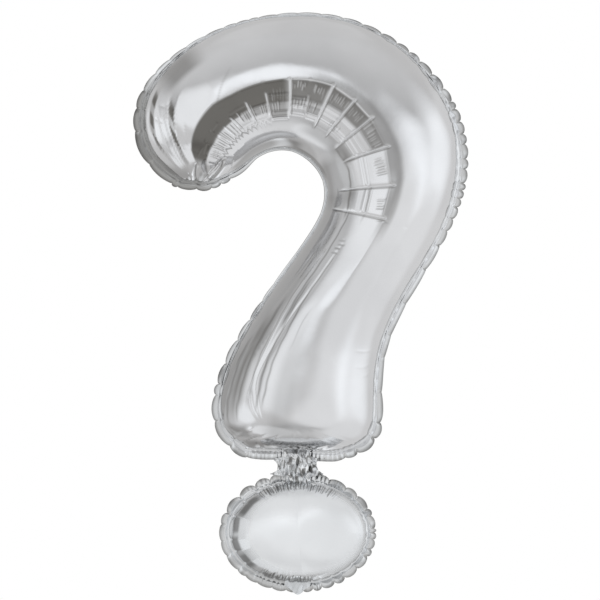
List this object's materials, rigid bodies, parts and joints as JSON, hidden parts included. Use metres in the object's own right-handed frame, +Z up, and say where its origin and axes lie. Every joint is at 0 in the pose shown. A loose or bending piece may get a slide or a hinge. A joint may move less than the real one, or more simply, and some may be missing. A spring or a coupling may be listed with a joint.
{
  "type": "question mark foil balloon",
  "caption": "Inflated foil balloon shaped as a question mark: a hooked tube and an oval dot joined by a short crumpled foil neck.",
  "frame": {"origin": "centre of lift of the gas, on the seam plane, between the hook's curve and its stem", "axes": "+X to the right as the mark is read, +Z up, -Y out of the front panels"},
  "size_m": [0.4927, 0.1788, 0.8618],
  "materials": {
    "silver_foil": "mirror-bright metallised film",
    "sealed_foil_band": "bright, finely wrinkled",
    "crumpled_neck_foil": "bright, crumpled",
    "valve_film": "glossy thin film"
  },
  "bodies": {
    "hook": {"hook_front_panel": "silver_foil", "hook_back_panel": "silver_foil", "hook_seam_band": "sealed_foil_band", "neck_front_sheet": "crumpled_neck_foil", "neck_back_sheet": "crumpled_neck_foil"},
    "dot": {"dot_front_panel": "silver_foil", "dot_back_panel": "silver_foil", "dot_seam_band": "sealed_foil_band", "fill_valve_tail": "valve_film"}
  },
  "joints": [
    {"name": "neck_flex", "type": "hinge", "parent": "hook", "child": "dot", "pos_m": [-0.025, 0, -0.315], "axis": [1, 0, 0], "range_deg": [-30, 30], "deforming": ["neck_front_sheet", "neck_back_sheet"]}
  ]
}
